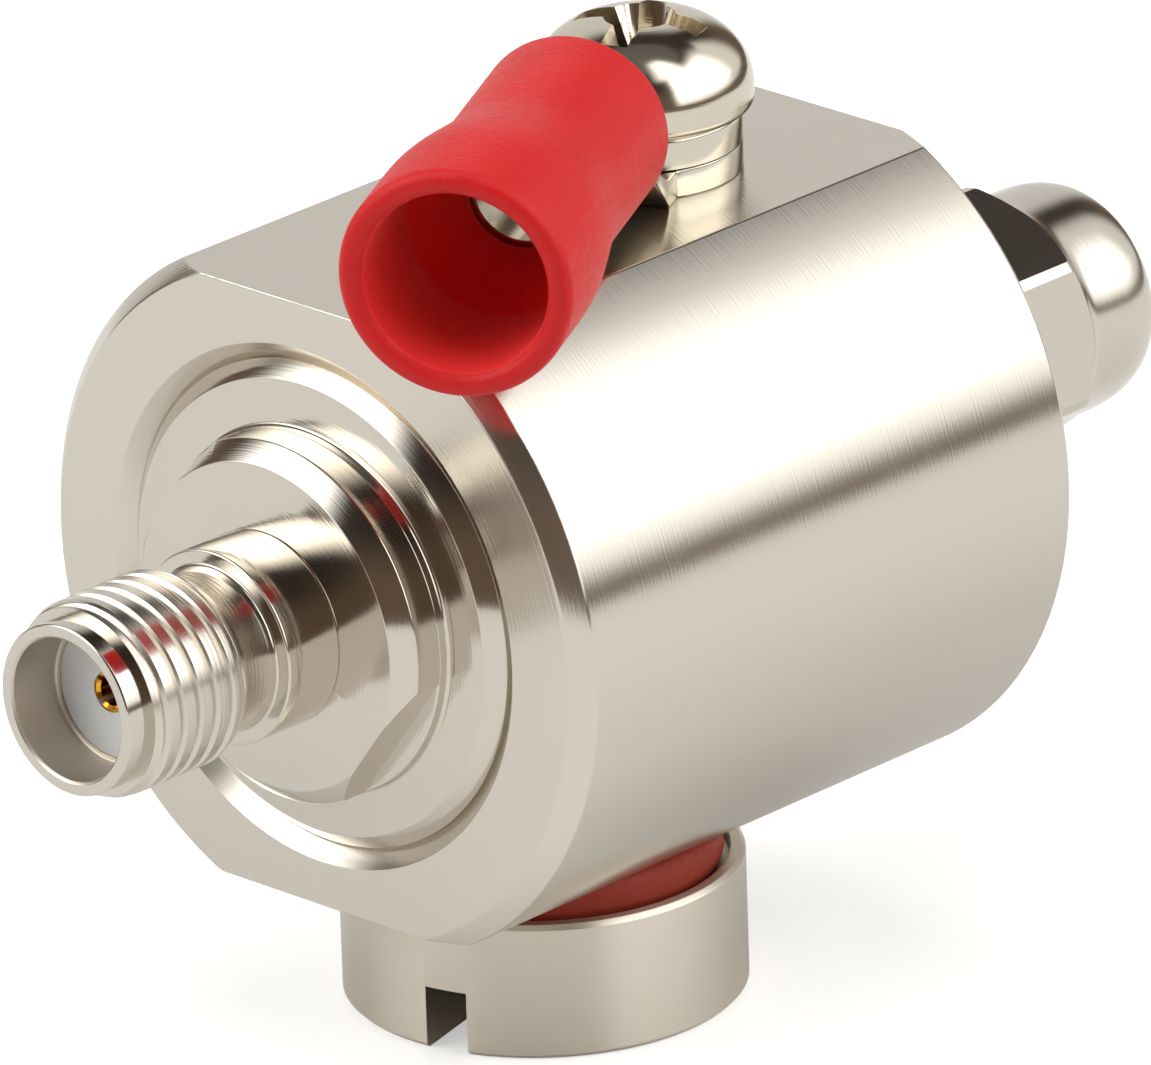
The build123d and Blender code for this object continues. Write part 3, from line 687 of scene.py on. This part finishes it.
# Spring washer: one turn of square wire, cut on a slant
def spring_washer():
    bore, outside, thick = 2.1, 3.1, 1.02
    rise = 1.1 - thick
    steps = 120
    start, gap, slant = math.radians(50), math.radians(7), math.radians(10)
    section = softened([(bore, 0), (outside, 0, 0.14), (outside, thick, 0.14), (bore, thick)], 0.1)
    bm = bmesh.new()
    rings = []
    for k in range(steps + 1):
        share = k / steps
        ring = []
        for radius, height in section:
            lean = slant * (height / thick - 0.5)
            a = start + gap / 2 + lean + share * (2 * math.pi - gap)
            ring.append(bm.verts.new((X_SCREW + radius * math.cos(a), radius * math.sin(a),
                                      Z_WASHER + rise * share + height)))
        rings.append(ring)
    for ring, following in zip(rings, rings[1:]):
        for i in range(len(ring)):
            j = (i + 1) % len(ring)
            bm.faces.new((ring[i], ring[j], following[j], following[i]))
    bm.faces.new(rings[0])
    bm.faces.new(rings[-1])
    bmesh.ops.recalc_face_normals(bm, faces=bm.faces)
    finish_piece("spring_washer", bm, "washer", (plated_steel,), "lock_washer")


# Insulating sleeve: neck that swells into a bell, with a funnel inside
def sleeve():
    start, end = 7.3, 20.4
    grip, neck, bell, funnel, throat = 2.47, 3.05, 3.7, 2.9, 1.56
    swell_start, swell_length, swell_steps = 4.9, 5.2, 14
    barrel_end = 12.95
    outline = [(start, grip, 0.1), (start, neck, 0.45)]
    for k in range(swell_steps + 1):
        share = k / swell_steps
        blend = share * share * (3 - 2 * share)
        outline.append((start + swell_start + swell_length * share,
                        neck + (bell - neck) * blend, 0))
    outline += [(end, bell, 0.42), (end, funnel, 0.4), (barrel_end + 2.6, funnel, 1.2),
                (barrel_end, throat, 0.2), (barrel_end, grip, 0)]
    tube = turned(softened(outline, steps=6))
    # The funnel's faces take the lit vinyl, whose lighter red is painted light
    marked(tube, 1, lambda c: c.yz.length < funnel + EDGE)
    finish_piece("sleeve", on_barrel(tube), "terminal", (vinyl, lit_vinyl),
                 "terminal_sleeve", 40)


# Housing, ring terminal and contact: the solids themselves with broken edges
def housing():
    bm = rounded_copy("housing", 0.06, lambda e: all(v.co.yz.length > 9.5 for v in e.verts))
    finish_piece("turned_housing", bm, "arrestor", (satin_nickel,), "housing")


def terminal():
    bm = rounded_copy("ring_terminal", 0.07, lambda e: all(v.co.x > 19.5 for v in e.verts))
    finish_piece("stamped_terminal", bm, "terminal", (tinned_copper,),
                 "ring_terminal")


def contact():
    """The slots stand at a slant in the photograph's pose."""
    bm = rounded_copy("socket_contact", 0.02, lambda e: all(v.co.yz.length > 0.7 for v in e.verts))
    bm.transform(Matrix.Rotation(math.radians(45), 4, "X"))
    finish_piece("slotted_contact", bm, "arrestor", (gold_plate,), "socket_contact")


housing()
terminal()
contact()
socket_body()
hex_nut()
slotted_cap()
earthing_screw()
spring_washer()
sleeve()


# Studio
def window(tree, angle, edges):
    """Fade in between the first two of four angles in degrees, and out between the last two."""
    rise = add(tree, "ShaderNodeMapRange", {0: angle, 1: edges[0], 2: edges[1], 3: 0, 4: 1},
               interpolation_type="SMOOTHSTEP").outputs[0]
    fall = add(tree, "ShaderNodeMapRange", {0: angle, 1: edges[2], 2: edges[3], 3: 1, 4: 0},
               interpolation_type="SMOOTHSTEP").outputs[0]
    return add(tree, "ShaderNodeMath", {0: rise, 1: fall}, operation="MULTIPLY").outputs[0]


# Walls of the light tent: the way they lie, their edges across and in height, all in degrees,
# and their level. Between them the tent is dark, brown below and nearly black above.
TENT_WALLS = (
    (-55, (-50, -40, 12, 55), (0.5, 7, 48, 62), 1.5),
    (-55, (-50, -40, 12, 55), (4.5, 14, 48.5, 62.5), 2.5),
    (-55, (-50, -40, 50, 67), (0.5, 7, 48, 52), 0.9),
    (-85, (-40, -15, 15, 35), (45, 55, 75, 85), 2.0),
    (150, (-50, -20, 8, 44), (-3, 32, 50, 68), 3.8),
    (46, (-24, -12, 42, 47), (-8, -4, 34, 50), 0.75),
)
TENT_WHITE = (1, 1, 0.985, 1)
LOW_GAP = (0.15, 0.105, 0.075, 1)
HIGH_GAP = (0.035, 0.027, 0.022, 1)


def studio_world():
    """A light tent: bright walls at the sides and overhead, with dark gaps between them."""
    top_light, top_mirrored, top_from, top_full = 2.2, 0.1, 62, 68
    low_until, high_from = 18, 40
    world = bpy.data.worlds.new("studio")
    world.use_nodes = True
    tree = world.node_tree
    tree.nodes.clear()
    way = add(tree, "ShaderNodeTexCoord").outputs["Generated"]
    split = add(tree, "ShaderNodeSeparateXYZ", {0: way}).outputs
    rise = add(tree, "ShaderNodeMath", {0: split[2]}, operation="ARCSINE").outputs[0]
    height = add(tree, "ShaderNodeMath", {0: rise, 1: 180 / math.pi},
                 operation="MULTIPLY").outputs[0]
    path = add(tree, "ShaderNodeLightPath").outputs
    panel = add(tree, "ShaderNodeMapRange",
                {0: path["Is Glossy Ray"], 1: 0, 2: 1, 3: top_light, 4: top_mirrored}).outputs[0]
    total = add(tree, "ShaderNodeMapRange",
                {0: height, 1: top_from, 2: top_full, 3: 0, 4: panel},
                interpolation_type="SMOOTHSTEP").outputs[0]
    for middle, across, upward, level in TENT_WALLS:
        facing = (math.cos(math.radians(middle)), math.sin(math.radians(middle)), 0)
        beside = (-facing[1], facing[0], 0)
        ahead = add(tree, "ShaderNodeVectorMath", {0: way, 1: facing},
                    operation="DOT_PRODUCT").outputs["Value"]
        aside = add(tree, "ShaderNodeVectorMath", {0: way, 1: beside},
                    operation="DOT_PRODUCT").outputs["Value"]
        turn = add(tree, "ShaderNodeMath", {0: aside, 1: ahead}, operation="ARCTAN2").outputs[0]
        turn = add(tree, "ShaderNodeMath", {0: turn, 1: 180 / math.pi},
                   operation="MULTIPLY").outputs[0]
        mask = add(tree, "ShaderNodeMath",
                   {0: window(tree, turn, across), 1: window(tree, height, upward)},
                   operation="MULTIPLY").outputs[0]
        lit = add(tree, "ShaderNodeMath", {0: mask, 1: level}, operation="MULTIPLY").outputs[0]
        total = add(tree, "ShaderNodeMath", {0: total, 1: lit}, operation="MAXIMUM").outputs[0]
    share = add(tree, "ShaderNodeMath", {0: total, 1: 1.0}, operation="MINIMUM").outputs[0]
    upper = add(tree, "ShaderNodeMapRange",
                {0: height, 1: low_until, 2: high_from, 3: 0, 4: 1}).outputs[0]
    dark = add(tree, "ShaderNodeMix", {"Factor": upper, 6: LOW_GAP, 7: HIGH_GAP},
               data_type="RGBA").outputs[2]
    light = add(tree, "ShaderNodeMix", {"Factor": share, 6: dark, 7: TENT_WHITE},
                data_type="RGBA").outputs[2]
    strength = add(tree, "ShaderNodeMath", {0: total, 1: 1.0}, operation="MAXIMUM").outputs[0]
    tent = add(tree, "ShaderNodeBackground", {"Color": light, "Strength": strength}).outputs[0]
    plain = add(tree, "ShaderNodeBackground", {"Color": (1, 1, 1, 1), "Strength": 1.0}).outputs[0]
    mixed = add(tree, "ShaderNodeMixShader",
                {0: path["Is Camera Ray"], 1: tent, 2: plain}).outputs[0]
    add(tree, "ShaderNodeOutputWorld", {0: mixed})
    bpy.context.scene.world = world


def studio_floor():
    """Pale seamless floor that the arrestor stands on.

    Its grey lights the arrestor from below. The camera sees it lifted to white, with the
    shadow left in it, and mirrored in the metal it is lifted a little."""
    grey, seen_lift, mirrored_lift = 0.73, 0.44, 0.02
    half = 0.26
    z = Z_FOOT * MM
    mesh = bpy.data.meshes.new("floor")
    mesh.from_pydata([(-half, -half, z), (half, -half, z), (half, half, z), (-half, half, z)],
                     [], [(0, 1, 2, 3)])
    floor = bpy.data.objects.new("floor", mesh)
    bpy.context.scene.collection.objects.link(floor)
    mat = bpy.data.materials.new("white_floor")
    mat.use_nodes = True
    tree = mat.node_tree
    tree.nodes.clear()
    paper = add(tree, "ShaderNodeBsdfDiffuse", {"Color": (grey, grey, grey, 1)}).outputs[0]
    path = add(tree, "ShaderNodeLightPath").outputs
    seen = add(tree, "ShaderNodeMath", {0: path["Is Camera Ray"], 1: seen_lift},
               operation="MULTIPLY").outputs[0]
    lift = add(tree, "ShaderNodeMath", {0: path["Is Glossy Ray"], 1: mirrored_lift, 2: seen},
               operation="MULTIPLY_ADD").outputs[0]
    glow = add(tree, "ShaderNodeEmission", {"Color": (1, 1, 1, 1), "Strength": lift}).outputs[0]
    both = add(tree, "ShaderNodeAddShader", {0: paper, 1: glow}).outputs[0]
    add(tree, "ShaderNodeOutputMaterial", {0: both})
    floor.data.materials.append(mat)


def photo_camera():
    """Long lens at the photograph's place, looking down at the socket's end."""
    place = Vector((-376.67522, -383.62916, 219.21238))
    data = bpy.data.cameras.new("camera")
    data.sensor_width = 36.0
    data.lens = 595.42
    data.clip_start = 0.01
    data.clip_end = 20.0
    camera = bpy.data.objects.new("camera", data)
    bpy.context.scene.collection.objects.link(camera)
    right = Vector((0.68559255, -0.72736636, -0.03001715))
    up = Vector((0.28894136, 0.2340377, 0.92829911))
    back = Vector((-0.66818841, -0.64510815, 0.37062073))
    turn = Matrix((right, up, back)).transposed().to_4x4()
    camera.matrix_world = Matrix.Translation(place * MM) @ turn
    bpy.context.scene.camera = camera


studio_world()
studio_floor()
photo_camera()
bpy.context.scene.view_settings.view_transform = "Standard"
